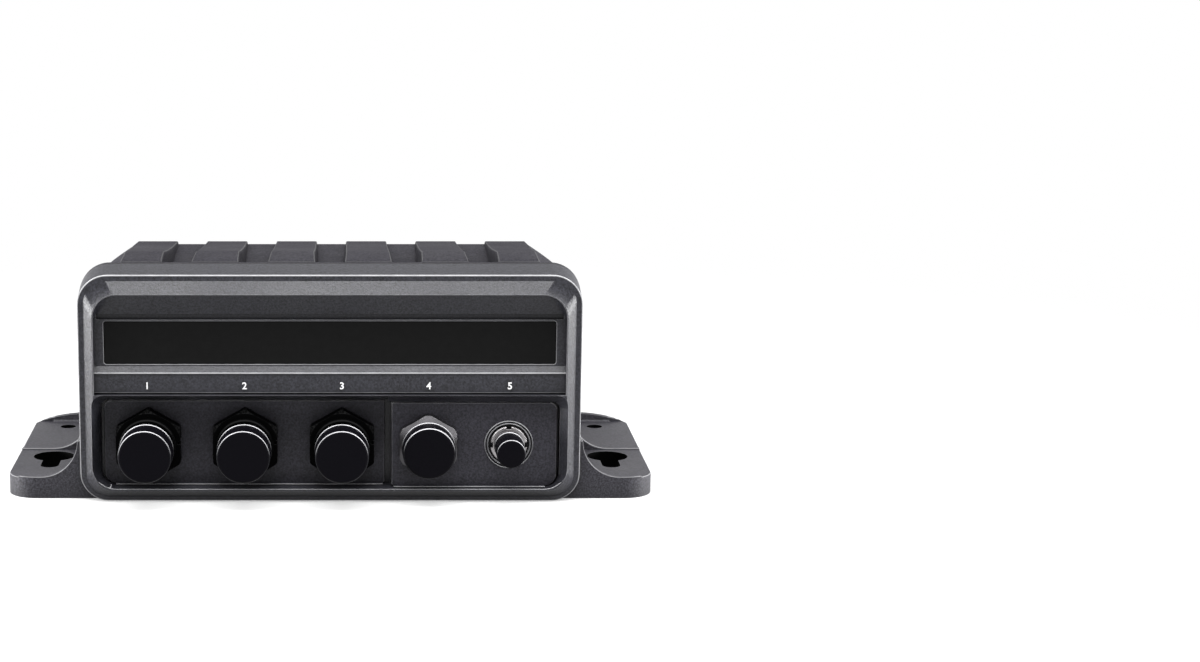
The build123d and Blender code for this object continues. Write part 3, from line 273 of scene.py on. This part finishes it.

# moulded, painted and rubber finishes, one for each material slot; sizes in mm
# wear is how much of the edge's tone shows near an edge as wear, edge how light the painted highlight
# on edge faces gets (also the tone that worn edges turn to), and edgeTurn how far down an edge face
# may look and still get the painted highlight
finishes = {
    "bezel_plastic": {"colour": (0.020, 0.020, 0.025), "vary": 0.70, "rough": 0.37, "grain": 0.9,
                      "depth": 0.14, "wear": 0.08, "wearWidth": 0.6, "gloss": 0.29, "edge": 0.52,
                      "edgeTurn": -0.7},
    "plate_plastic": {"colour": (0.026, 0.025, 0.032), "vary": 0.65, "rough": 0.50, "grain": 0.9,
                      "depth": 0.12, "wear": 0.10, "wearWidth": 0.5, "gloss": 0.22, "edge": 0.50},
    "label_gloss": {"colour": (0.0055, 0.0055, 0.0055), "vary": 0.10, "rough": 0.12, "grain": 3.0,
                    "depth": 0.002, "wear": 0.10, "wearWidth": 0.25, "gloss": 0.055, "edge": 0.05},
    "cast_paint": {"colour": (0.030, 0.029, 0.035), "vary": 0.70, "rough": 0.50, "grain": 0.9,
                   "depth": 0.14, "wear": 0.20, "wearWidth": 0.6, "gloss": 0.22, "edge": 0.26},
    "cover_paint": {"colour": (0.026, 0.025, 0.030), "vary": 0.60, "rough": 0.70, "grain": 0.9,
                    "depth": 0.10, "wear": 0.12, "wearWidth": 0.6, "gloss": 0.05, "edge": 0.07},
    "seal_rubber": {"colour": (0.012, 0.012, 0.013), "vary": 0.20, "rough": 0.75, "grain": 0.6,
                    "depth": 0.02, "wear": 0.10, "wearWidth": 0.3, "gloss": 0.2, "edge": 0.04},
    "nut_black": {"colour": (0.0012, 0.0012, 0.0013), "vary": 0.20, "rough": 0.50, "grain": 0.5,
                  "depth": 0.02, "wear": 0.02, "wearWidth": 0.2, "gloss": 0.010, "edge": 0.01},
    "cap_plastic": {"colour": (0.0022, 0.0020, 0.0032), "vary": 0.15, "rough": 0.40, "grain": 0.6,
                    "depth": 0.010, "wear": 0.02, "wearWidth": 0.30, "gloss": 0.035, "edge": 0.60,
                    "edgeTurn": 0.05},
    "insert_plastic": {"colour": (0.015, 0.015, 0.017), "vary": 0.20, "rough": 0.5, "grain": 0.5,
                       "depth": 0.02, "wear": 0.15, "wearWidth": 0.2, "gloss": 0.4, "edge": 0.05},
    "ptfe": {"colour": (0.78, 0.77, 0.74), "vary": 0.06, "rough": 0.5, "grain": 0.5,
             "depth": 0.01, "wear": 0.1, "wearWidth": 0.2, "gloss": 0.4, "edge": 0.85},
    "board_green": {"colour": (0.018, 0.10, 0.045), "vary": 0.20, "rough": 0.35, "grain": 1.2,
                    "depth": 0.01, "wear": 0.3, "wearWidth": 0.3, "gloss": 0.5, "edge": 0.2},
    "module_black": {"colour": (0.020, 0.020, 0.021), "vary": 0.20, "rough": 0.5, "grain": 0.5,
                     "depth": 0.02, "wear": 0.2, "wearWidth": 0.3, "gloss": 0.4, "edge": 0.05},
    "pad_grey": {"colour": (0.30, 0.32, 0.34), "vary": 0.12, "rough": 0.8, "grain": 0.7,
                 "depth": 0.02, "wear": 0.1, "wearWidth": 0.3, "gloss": 0.2, "edge": 0.4},
    "gland_nylon": {"colour": (0.022, 0.022, 0.024), "vary": 0.25, "rough": 0.45, "grain": 0.8,
                    "depth": 0.02, "wear": 0.2, "wearWidth": 0.3, "gloss": 0.35, "edge": 0.16},
}
# what those finishes share: a range is where the noise or the openness starts and stops counting
surface = {
    "speck": {"detail": 3, "roughness": 0.7, "range": (0.36, 0.64)},
    "cloud": {"grains": 40, "detail": 4, "range": (0.35, 0.65), "share": 0.25},
    "cornerDark": {"reach": 12, "range": (0.15, 0.85), "share": 0.8, "dark": 0.2},  # painted shade, darker in corners and recesses up to 12 mm away
    "patch": {"size": 5, "detail": 3, "range": (0.3, 0.7), "least": 0.7},  # uneven wear and painted highlight along edges
    # edge wear uses range; the painted highlight on edge faces grows with turn, full and least as they
    # look up; tint is for both
    "wearAndHighlight": {"range": (0.30, 0.85), "turn": -0.35, "full": 0.75, "least": 0.03, "tint": 0.97},
    "sheen": {"range": (0.3, 0.7), "spread": (0.88, 1.12)},
    "rubbedDepth": 0.2,  # how much of the grain is left on a rubbed edge
}
metals = {
    "screw_steel": {"colour": (0.42, 0.42, 0.43), "rough": 0.32, "grain": 0.25, "tarnish": 0.35},
    "dull_nickel": {"colour": (0.072, 0.070, 0.074), "rough": 0.38, "grain": 0.25, "tarnish": 0.30},
    "nickel": {"colour": (0.30, 0.29, 0.295), "rough": 0.34, "grain": 0.25, "tarnish": 0.30},
    "contact_gold": {"colour": (0.86, 0.60, 0.24), "rough": 0.22, "grain": 0.15, "tarnish": 0.20},
    "can_tin": {"colour": (0.60, 0.61, 0.60), "rough": 0.35, "grain": 0.40, "tarnish": 0.30},
    "brass": {"colour": (0.62, 0.46, 0.20), "rough": 0.34, "grain": 0.25, "tarnish": 0.40},
}
metalSurface = {
    "brushed": {"detail": 4, "roughness": 0.65, "range": (0.3, 0.7), "spread": (0.8, 1.25),
                "depth": 0.006},
    "stain": {"size": 4, "detail": 5, "range": (0.45, 0.75), "dark": 0.55},
    # darker in corners, within 1.5 mm
    "cornerDark": {"reach": 1.5, "range": (0.2, 0.9), "share": 0.5, "dark": 0.35},
}


def settleGrime(tree, look, tone, colour):  # darker near corners and in recesses; on the plastics this is painted shade
    amount = rangeOf(tree, opennessOf(tree, look["reach"]), look["range"], look["share"], 0)
    return blendColours(tree, amount, tone, toned(colour, look["dark"]))


def plasticFinish(name, look, paintedHighlight=False):  # the finish for a piece's edges carries a painted highlight instead of edge wear
    material, tree, shader = startMaterial(name)
    place = tree.nodes.new("ShaderNodeTexCoord")
    colour = look["colour"]
    vary = look["vary"]
    speck, cloud, patch = surface["speck"], surface["cloud"], surface["patch"]
    grains = noiseOn(tree, place, look["grain"], speck["detail"], speck["roughness"])
    clouds = noiseOn(tree, place, look["grain"] * cloud["grains"], cloud["detail"])
    amount = rangeOf(tree, grains, speck["range"], 0, 1)
    tone = blendColours(tree, amount, toned(colour, 1 - vary), toned(colour, 1 + vary))
    amount = rangeOf(tree, clouds, cloud["range"], 0, cloud["share"])
    tone = blendColours(tree, amount, tone, toned(colour, 1 + vary / 2))
    # painted shade: the plastics darken in corners and recesses, reaching 12 mm
    tone = settleGrime(tree, surface["cornerDark"], tone, colour)
    wearAndHighlight = surface["wearAndHighlight"]
    if paintedHighlight:  # painted highlight: lightest where the edge looks up, as if lit from above
        facing = tree.nodes.new("ShaderNodeSeparateXYZ")
        tree.links.new(place.outputs["Normal"], facing.inputs["Vector"])
        turns = (look.get("edgeTurn", wearAndHighlight["turn"]), wearAndHighlight["full"])
        paleShare = rangeOf(tree, facing.outputs["Z"], turns, wearAndHighlight["least"], 1)
    else:
        # edge wear: paler near convex edges
        nearEdge = opennessOf(tree, look["wearWidth"], True)
        paleShare = rangeOf(tree, nearEdge, wearAndHighlight["range"], look["wear"], 0)
    patches = noiseOn(tree, place, patch["size"], patch["detail"])
    kept = calculate(tree, "MULTIPLY", paleShare, rangeOf(tree, patches, patch["range"], patch["least"], 1))
    pale = look["edge"]
    # the pale tone: a painted highlight on edge faces, wear elsewhere
    tone = blendColours(tree, kept, tone, (pale * wearAndHighlight["tint"], pale * wearAndHighlight["tint"], pale, 1))
    tree.links.new(tone, shader.inputs["Base Color"])
    smoothest, roughest = (look["rough"] * share for share in surface["sheen"]["spread"])
    sheen = rangeOf(tree, clouds, surface["sheen"]["range"], smoothest, roughest)
    tree.links.new(sheen, shader.inputs["Roughness"])
    shader.inputs["Specular IOR Level"].default_value = look["gloss"]
    addBump(tree, shader, grains, look["depth"] * (surface["rubbedDepth"] if paintedHighlight else 1))
    return material


def metalFinish(name, look):
    material, tree, shader = startMaterial(name)
    place = tree.nodes.new("ShaderNodeTexCoord")
    colour = look["colour"]
    brushed, stain = metalSurface["brushed"], metalSurface["stain"]
    strokes = noiseOn(tree, place, look["grain"], brushed["detail"], brushed["roughness"])
    stains = noiseOn(tree, place, stain["size"], stain["detail"])
    amount = rangeOf(tree, stains, stain["range"], 0, look["tarnish"])
    tone = blendColours(tree, amount, toned(colour), toned(colour, stain["dark"]))
    # darker in corners, within 1.5 mm
    tone = settleGrime(tree, metalSurface["cornerDark"], tone, colour)
    tree.links.new(tone, shader.inputs["Base Color"])
    shader.inputs["Metallic"].default_value = 1.0
    smoothest, roughest = (look["rough"] * share for share in brushed["spread"])
    sheen = rangeOf(tree, strokes, brushed["range"], smoothest, roughest)
    tree.links.new(sheen, shader.inputs["Roughness"])
    addBump(tree, shader, strokes, brushed["depth"])
    return material


materials = {name: plasticFinish(name, look) for name, look in finishes.items()}
materials.update({name: metalFinish(name, look) for name, look in metals.items()})
# edge finishes, whose colour carries the painted highlight
highlightEdgeMaterials = {name: plasticFinish(name + "_edge", look, True) for name, look in finishes.items()}
print("finishes mixed:", len(materials))

ownFinish = {  # nodes whose finish isn't the one of their slot
    "top_cover": "cover_paint",
    "data_nut": "dull_nickel",
    "mic_socket_1": "nut_black",
    "mic_socket_2": "nut_black",
    "mic_socket_3": "nut_black",
}
slots = {}
for nodeName, node in nodes.items():
    slots[nodeName] = node.data.materials[0].name.split(".")[0]
    node.data.materials[0] = materials[ownFinish.get(nodeName, slots[nodeName])]
print("nodes finished:", len(nodes))

# every outer piece gets the small radius that its mould, casting or turning leaves; widths in mm
roundedEdges = {
    "front_bezel": 0.46, "top_cover": 0.40, "base_tray": 0.45, "mic_plate": 0.25, "data_plate": 0.25,
    "mic_nut_1": 0.20, "mic_nut_2": 0.20, "mic_nut_3": 0.20, "data_nut": 0.20, "gps_ring": 0.12,
    "mic_cap_1": 0.24, "mic_cap_2": 0.24, "mic_cap_3": 0.24, "data_cap": 0.24, "gps_cap": 0.20,
    "antenna_socket": 0.25, "gland_bodies": 0.25, "gland_nuts": 0.30,
}
edgeRules = {  # angles in degrees, lengths in mm
    "least": 28,  # edges that stick out less than this stay as they are
    "leastOnCap": 32,
    "share": 0.42,  # how much of the thinnest face beside it a radius takes at most
    "bend": 60,  # a run of edges goes on through turns smaller than this
    "sliver": 0.3,  # shorter edges don't set the width of their run
    "segments": 2,
    "flat": 0.5,  # faces that turn less than this are one face
    "smooth": 35,
}
highlightFaces = {  # thin faces that get the painted highlight all over, like the edges beside them
    "thin": 0.55,
    "up": 0.3,  # those on the rim look up at least this much
    "rim": 0.5,  # how deep the rim goes
    "corner": 2.0,  # smaller corner faces of the bezel stay plain, in mm2
    "capFront": 1.5,  # how deep a cap's front goes
    "capLine": (0.5, 0.91),  # the painted highlight line round a cap's front, from there on
    "capTurn": -0.2,  # its faces look forward at least this much
}
footHoles = {  # places in mm
    "line": 123.5,  # from the middle out to the holes
    "top": 8.9,
    "reach": ((27.5, 58.5, 9.3), (104, 112, 4)),  # first and last depth and half width
    "upright": 0.2,  # a hole's wall looks up or down less than this
}
rearOpening = {"half": 99, "top": 78, "from": 15}  # the bezel's, hidden round the shell, in mm


def breadth(face, edge):  # how wide a face is across one of its edges
    if len(face.verts) == 4:
        return face.calc_area() / edge.calc_length()
    return 2 * face.calc_area() / face.calc_perimeter()


def turnAt(vertex, edge, other):  # how far a path turns at this vertex, 0 where it goes straight on
    into = vertex.co - edge.other_vert(vertex).co
    onward = other.other_vert(vertex).co - vertex.co
    return into.angle(onward, 0)


def evenOut(shape, weight):  # one width along each smooth run of edges, whatever slivers lie beside it
    bend = math.radians(edgeRules["bend"])
    left = {edge for edge in shape.edges if edge[weight] > 0}
    while left:
        run = [left.pop()]
        for edge in run:
            for vertex in edge.verts:
                for other in vertex.link_edges:
                    if other in left and turnAt(vertex, edge, other) < bend:
                        left.remove(other)
                        run.append(other)
        main = [edge for edge in run if edge.calc_length() > edgeRules["sliver"] * mm]
        shared = min(edge[weight] for edge in main or run)
        for edge in run:
            edge[weight] = shared


def inHole(point):  # whether a point of the tray lies in the reach of a foot's hole
    across = abs(abs(point.x) / mm - footHoles["line"])
    return point.z < footHoles["top"] * mm and any(
        at(first) < point.y < at(last) and across < half for first, last, half in footHoles["reach"]
    )


def inOpening(point):  # whether a point of the bezel lies in its rear opening
    low = abs(point.x) < rearOpening["half"] * mm and point.z < rearOpening["top"] * mm
    return low and point.y > at(rearOpening["from"])


def staysSharp(nodeName, edge):  # the feet's drilled holes, and the bezel's hidden opening
    sharpPlace = {"base_tray": inHole, "front_bezel": inOpening}.get(nodeName)
    return sharpPlace is not None and all(sharpPlace(corner.co) for corner in edge.verts)


def darkenHoles(piece):  # painted shade: the drilled walls take the near-black nut finish so that the holes look dark
    piece.data.materials.append(materials["nut_black"])
    for wall in piece.data.polygons:
        if abs(wall.normal.z) < footHoles["upright"] and inHole(wall.center):
            wall.material_index = 2


def rubLine(shape, capFront):  # the painted highlight line runs unbroken round a cap's front
    first, last = highlightFaces["capLine"]
    for face in shape.faces:
        behind = (face.calc_center_median().y - capFront) / mm
        if first < behind < last and face.normal.y < highlightFaces["capTurn"]:
            face.material_index = 1


def markOutward(nodeName, data, width):  # weighs the outward edges, and gives the thin faces the painted highlight
    shape = bmesh.new()
    shape.from_mesh(data)
    weight = shape.edges.layers.float.new("bevel_weight_edge")
    onCap = "cap" in nodeName
    least = math.radians(edgeRules["leastOnCap" if onCap else "least"])
    nearest = min(corner.co.y for corner in shape.verts)
    for edge in shape.edges:
        if not edge.is_convex or edge.calc_face_angle(0) < least or staysSharp(nodeName, edge):
            continue
        thin = min(edge.link_faces, key=lambda face: breadth(face, edge))
        across = breadth(thin, edge) / mm
        edge[weight] = min(1, edgeRules["share"] * across / width)
        depth = thin.calc_center_median().y
        small = len(thin.verts) != 4 and thin.calc_area() < highlightFaces["corner"] * mm * mm
        if nodeName == "front_bezel" and small:
            continue
        if onCap and depth < nearest + highlightFaces["capFront"] * mm:
            continue
        seen = thin.normal.z > highlightFaces["up"] or depth >= at(highlightFaces["rim"])
        if across < highlightFaces["thin"] and seen:
            thin.material_index = 1
    if onCap:
        rubLine(shape, nearest)
    evenOut(shape, weight)
    shape.to_mesh(data)
    shape.free()


def roundEdges(nodeName, width):
    node = nodes[nodeName]
    piece = node.copy()
    piece.data = node.data.copy()
    piece.name = nodeName + "_rounded"
    bpy.context.scene.collection.objects.link(piece)
    choose(piece)
    bpy.ops.mesh.customdata_custom_splitnormals_clear()
    bpy.ops.object.mode_set(mode="EDIT")
    bpy.ops.mesh.select_all(action="SELECT")
    bpy.ops.mesh.remove_doubles(threshold=onePoint)
    bpy.ops.mesh.dissolve_limited(angle_limit=math.radians(edgeRules["flat"]))
    bpy.ops.object.mode_set(mode="OBJECT")
    finish = ownFinish.get(nodeName, slots[nodeName])
    # the bevel faces take the edge finish with its painted highlight
    piece.data.materials.append(highlightEdgeMaterials.get(finish, materials[finish]))
    markOutward(nodeName, piece.data, width)
    bevel = piece.modifiers.new("edges", "BEVEL")
    bevel.width = width * mm
    bevel.segments = edgeRules["segments"]
    bevel.limit_method = "WEIGHT"
    bevel.material = 1
    bevel.use_clamp_overlap = False
    bevel.loop_slide = False
    bpy.ops.object.modifier_apply(modifier="edges")
    if nodeName == "base_tray":
        darkenHoles(piece)
    bpy.ops.object.shade_smooth_by_angle(angle=math.radians(edgeRules["smooth"]))
    shading = piece.modifiers.new("shading", "WEIGHTED_NORMAL")
    shading.keep_sharp = True
    bpy.ops.object.modifier_apply(modifier="shading")
    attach(piece, node["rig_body"])
    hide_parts(nodeName)


for nodeName, width in roundedEdges.items():
    roundEdges(nodeName, width)
print("edges rounded:", len(roundedEdges))

# screw threads of the sockets, from the first depth to the last, in mm
micThread = {"radius": 8.8, "first": -14.6, "last": -1.4, "pitch": 1.5, "height": 0.22,
             "finish": "nut_black"}
threads = {
    "mic_1": {"socket": "mic_socket_1", **micThread},
    "mic_2": {"socket": "mic_socket_2", **micThread},
    "mic_3": {"socket": "mic_socket_3", **micThread},
    "data": {"socket": "data_socket", "radius": 8.0, "first": -8.4, "last": -1.0, "pitch": 1.5,
             "height": 0.22, "finish": "nickel"},
    "gps": {"socket": "gps_socket", "radius": 4.2, "first": -4.6, "last": 4.2, "pitch": 1.0,
            "height": 0.18, "finish": "nickel"},
    "antenna": {"socket": "antenna_socket", "radius": 7.94, "first": 139.4, "last": 152.0,
                "pitch": 1.06, "height": 0.28, "finish": "nickel"},
}
ridgeShape = {  # sink: how far the foot stands inside the barrel; half: half the foot, in pitches
    "sink": 0.1, "half": 0.46, "steps": 48, "smooth": 40,
}


def standUp(piece, tilt, place):  # turned and placed for good
    piece.rotation_euler = (math.radians(tilt), 0, 0)
    piece.location = place
    bpy.ops.object.transform_apply(location=True, rotation=True, scale=True)


def cutThread(name, socket, radius, first, last, pitch, height, finish):
    middle = middleOf(socket)
    bpy.ops.object.select_all(action="DESELECT")
    bpy.ops.mesh.primitive_circle_add(
        vertices=3, radius=1, fill_type="NOTHING", rotation=(math.radians(90), 0, 0)
    )
    ridge = bpy.context.object
    ridge.name = f"{name}_thread"
    bpy.ops.object.transform_apply(location=False, rotation=True, scale=False)
    # a V with its point outwards and its feet just inside the barrel
    corners = sorted(ridge.data.vertices, key=lambda corner: abs(corner.co.x))
    foot = ridgeShape["half"] * pitch
    inside = radius - ridgeShape["sink"]
    corners[0].co = ((radius + height) * mm, 0, 0)
    corners[1].co = (inside * mm, 0, foot * mm)
    corners[2].co = (inside * mm, 0, -foot * mm)
    screw = ridge.modifiers.new("turns", "SCREW")
    screw.axis = "Z"
    screw.screw_offset = pitch * mm
    screw.iterations = int((last - first - pitch) / pitch)
    screw.steps = ridgeShape["steps"]
    screw.render_steps = ridgeShape["steps"]
    bpy.ops.object.modifier_apply(modifier="turns")
    bpy.ops.object.mode_set(mode="EDIT")
    bpy.ops.mesh.select_all(action="SELECT")
    bpy.ops.mesh.remove_doubles(threshold=onePoint)
    bpy.ops.mesh.select_all(action="DESELECT")
    bpy.ops.mesh.select_mode(type="EDGE")
    bpy.ops.mesh.select_non_manifold()
    bpy.ops.mesh.fill_holes(sides=4)
    bpy.ops.mesh.select_all(action="SELECT")
    bpy.ops.mesh.normals_make_consistent(inside=False)
    bpy.ops.object.mode_set(mode="OBJECT")
    standUp(ridge, -90, (middle.x, at(first + pitch / 2), middle.z))
    bpy.ops.object.shade_smooth_by_angle(angle=math.radians(ridgeShape["smooth"]))
    ridge.data.materials.append(materials[finish])
    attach(ridge, "case")


for threadName, threadLook in threads.items():
    cutThread(threadName, **threadLook)
print("threads cut:", len(threads))

# rings turned from a profile of (radius, depth) corners in mm; their colour is a painted edge
# highlight
rings = {
    "gpsWasher": {
        "around": "gps_cap", "slot": "plate_plastic", "body": "case",
        "corners": ((8.8, 6.7), (8.8, 5.6), (8.95, 5.35), (9.15, 5.35), (9.4, 5.6), (9.4, 6.7)),
    },
    "gpsLip": {
        "around": "gps_cap", "slot": "plate_plastic", "body": "case",
        "corners": ((9.98, 5.7), (9.98, 5.3), (10.1, 5.15), (10.25, 5.15), (10.5, 5.4), (10.5, 5.7)),
    },
}
beads = {  # raised ring round the back of each cap, carrying a painted highlight: radius, depth of its rear end
    "mic_cap_1": (11.4, -6.2), "mic_cap_2": (11.4, -6.2), "mic_cap_3": (11.4, -6.2),
    "data_cap": (11.2, -1.9), "gps_cap": (6.2, 1.7),
}
beadProfile = ((-0.1, 0), (-0.1, -1.1), (0.05, -1.1), (0.22, -0.7), (0.22, -0.25), (0.05, 0))
for capName, (capRadius, beadEnd) in beads.items():
    rings[capName + "_bead"] = {
        "around": capName, "slot": "cap_plastic", "body": capName,
        "corners": [(capRadius + out, beadEnd + along) for out, along in beadProfile],
    }
ringTurn = {"steps": 72, "smooth": 35}


def turnRing(name, around, slot, body, corners):
    middle = middleOf(around)
    bpy.ops.object.select_all(action="DESELECT")
    bpy.ops.mesh.primitive_circle_add(vertices=len(corners), radius=1, fill_type="NOTHING")
    ring = bpy.context.object
    ring.name = name
    for vertex, (radius, depth) in zip(ring.data.vertices, corners):
        vertex.co = (radius * mm, 0, at(depth) - middle.y)
    turn = ring.modifiers.new("turn", "SCREW")
    turn.axis = "Z"
    turn.steps = ringTurn["steps"]
    turn.render_steps = ringTurn["steps"]
    turn.use_merge_vertices = True
    turn.merge_threshold = onePoint
    bpy.ops.object.modifier_apply(modifier="turn")
    bpy.ops.object.mode_set(mode="EDIT")
    bpy.ops.mesh.select_all(action="SELECT")
    bpy.ops.mesh.remove_doubles(threshold=onePoint)
    bpy.ops.mesh.normals_make_consistent(inside=False)
    bpy.ops.object.mode_set(mode="OBJECT")
    standUp(ring, -90, middle)
    bpy.ops.object.shade_smooth_by_angle(angle=math.radians(ringTurn["smooth"]))
    # the edge finish: a painted highlight where the ring looks up
    ring.data.materials.append(highlightEdgeMaterials[slot])
    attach(ring, body)


for ringName, ringLook in rings.items():
    turnRing(ringName, **ringLook)
print("rings turned:", len(rings))

# pale bead along the foot of the recess's mouth, standing in as a painted highlight line; its right
# half as (x, z) in mm
mouthBead = {
    "radius": 0.17, "depth": 0.14, "rounds": 2, "smooth": 40,
    "half": ((92.2, 6.0), (94.5, 6.45), (96.4, 7.33), (98.66, 8.95)),
}


def layBead(look):  # a chain of edges that becomes a round bead
    path = [(-x, z) for x, z in reversed(look["half"])] + list(look["half"])
    startX, startZ = path[0]
    bpy.ops.object.select_all(action="DESELECT")
    bpy.ops.mesh.primitive_plane_add(
        size=mm, location=(startX * mm, at(look["depth"]), startZ * mm)
    )
    bead = bpy.context.object
    bead.name = "mouthBead"
    bpy.ops.object.transform_apply(location=True, rotation=True, scale=True)
    bpy.ops.object.mode_set(mode="EDIT")
    bpy.ops.mesh.select_mode(type="VERT")
    bpy.ops.mesh.select_all(action="SELECT")
    bpy.ops.mesh.merge(type="CENTER")
    for (x, z), (nextX, nextZ) in zip(path, path[1:]):
        step = ((nextX - x) * mm, 0, (nextZ - z) * mm)
        bpy.ops.mesh.extrude_region_move(TRANSFORM_OT_translate={"value": step})
    bpy.ops.object.mode_set(mode="OBJECT")
    bpy.ops.object.convert(target="CURVE")
    curve = bpy.context.object.data
    curve.dimensions = "3D"
    curve.fill_mode = "FULL"
    curve.bevel_depth = look["radius"] * mm
    curve.bevel_resolution = look["rounds"]
    curve.use_fill_caps = True
    bpy.ops.object.convert(target="MESH")
    bead = bpy.context.object
    bpy.ops.object.shade_smooth_by_angle(angle=math.radians(look["smooth"]))
    # painted highlight: the bead takes the bezel's edge finish
    bead.data.materials.append(highlightEdgeMaterials["bezel_plastic"])
    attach(bead, "case")


layBead(mouthBead)
print("bead laid")

# numbers of the sockets, on the strip over them, in mm
numbers = {
    "sockets": ("mic_cap_1", "mic_cap_2", "mic_cap_3", "data_cap", "gps_cap"),
    "height": 2.9, "raise": 0.06, "bold": 0.09, "line": 50.6, "depth": 2.5,
    "digit": 0.7,  # how much of the font's size a digit is tall
    "ink": ((0.72, 0.72, 0.73), (0.92, 0.92, 0.93)), "fleck": 0.3, "detail": 3,
    "fleckRange": (0.35, 0.6), "rough": 0.5,
}


def mixInk(look):
    ink, tree, shader = startMaterial("labelInk")
    place = tree.nodes.new("ShaderNodeTexCoord")
    flecks = noiseOn(tree, place, look["fleck"], look["detail"])
    amount = rangeOf(tree, flecks, look["fleckRange"], 0, 1)
    tone = blendColours(tree, amount, toned(look["ink"][0]), toned(look["ink"][1]))
    tree.links.new(tone, shader.inputs["Base Color"])
    shader.inputs["Roughness"].default_value = look["rough"]
    return ink


def printNumbers(look):
    ink = mixInk(look)
    for count, socket in enumerate(look["sockets"], start=1):
        bpy.ops.object.select_all(action="DESELECT")
        bpy.ops.object.text_add()
        text = bpy.context.object
        text.name = f"socketNumber_{count}"
        text.data.body = str(count)
        text.data.align_x = "CENTER"
        text.data.align_y = "CENTER"
        text.data.size = look["height"] * mm / look["digit"]
        text.data.extrude = look["raise"] * mm
        text.data.offset = look["bold"] * mm
        bpy.ops.object.convert(target="MESH")
        text = bpy.context.object
        standUp(text, 90, (middleOf(socket).x, at(look["depth"]), look["line"] * mm))
        text.data.materials.append(ink)
        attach(text, "case")


printNumbers(numbers)
print("numbers printed")
